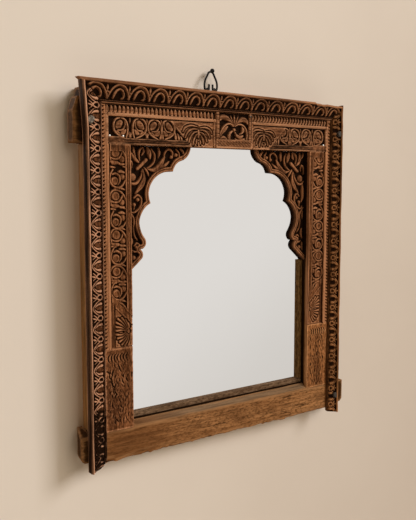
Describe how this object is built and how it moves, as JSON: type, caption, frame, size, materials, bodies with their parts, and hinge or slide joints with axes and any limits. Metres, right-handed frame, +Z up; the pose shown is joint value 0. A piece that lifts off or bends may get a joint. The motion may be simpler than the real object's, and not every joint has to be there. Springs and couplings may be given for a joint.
{
  "type": "arch mirror frame",
  "caption": "Wall mirror in a carved timber window frame, with a cusped arch opening, a sloped cornice border, beam ears and a swinging wire hanger loop on top.",
  "frame": {"origin": "centre of the rectangular opening, on the wall plane at the back of the frame", "axes": "+Z up, +Y into the wall, +X to the right for someone who looks at the mirror"},
  "size_m": [0.636, 0.061, 0.7095],
  "materials": {
    "timber": "weathered, unvarnished",
    "cornice_wood": "weathered, dark in the carving",
    "carved_wood": "weathered, dark in the carving",
    "slip_wood": "greyed, unvarnished",
    "board_wood": "plain",
    "peg_wood": "plain",
    "mirror": "silvered glass",
    "dark_iron": "black, hand bent",
    "nail_iron": "worn grey",
    "bright_brad": "bright heads",
    "screw_steel": "plain"
  },
  "bodies": {
    "frame": {"backboard": "board_wood", "backboard_screws": "screw_steel", "border_nails": "nail_iron", "border_pins": "nail_iron", "bottom_slip": "slip_wood", "bracket_dowels": "peg_wood", "centre_block": "carved_wood", "facing_brads": "bright_brad", "hanger_staples": "dark_iron", "head_rail": "timber", "joint_pegs": "peg_wood", "left_border": "cornice_wood", "left_bracket": "carved_wood", "left_foot_facing": "carved_wood", "left_head_facing": "carved_wood", "left_slip": "slip_wood", "left_stile": "timber", "left_teeth": "carved_wood", "left_vine_facing": "carved_wood", "mirror_glass": "mirror", "right_border": "cornice_wood", "right_bracket": "carved_wood", "right_foot_facing": "carved_wood", "right_head_facing": "carved_wood", "right_slip": "slip_wood", "right_stile": "timber", "right_teeth": "carved_wood", "right_vine_facing": "carved_wood", "sill_rail": "timber", "top_border": "cornice_wood", "top_left_teeth": "carved_wood", "top_right_teeth": "carved_wood"},
    "hanger": {"hanger_loop": "dark_iron"}
  },
  "joints": [
    {"name": "hanger_swing", "type": "hinge", "parent": "frame", "child": "hanger", "pos_m": [-0.0175, -0.012, 0.358], "axis": [1, 0, 0], "range_deg": [-130, 90]}
  ]
}
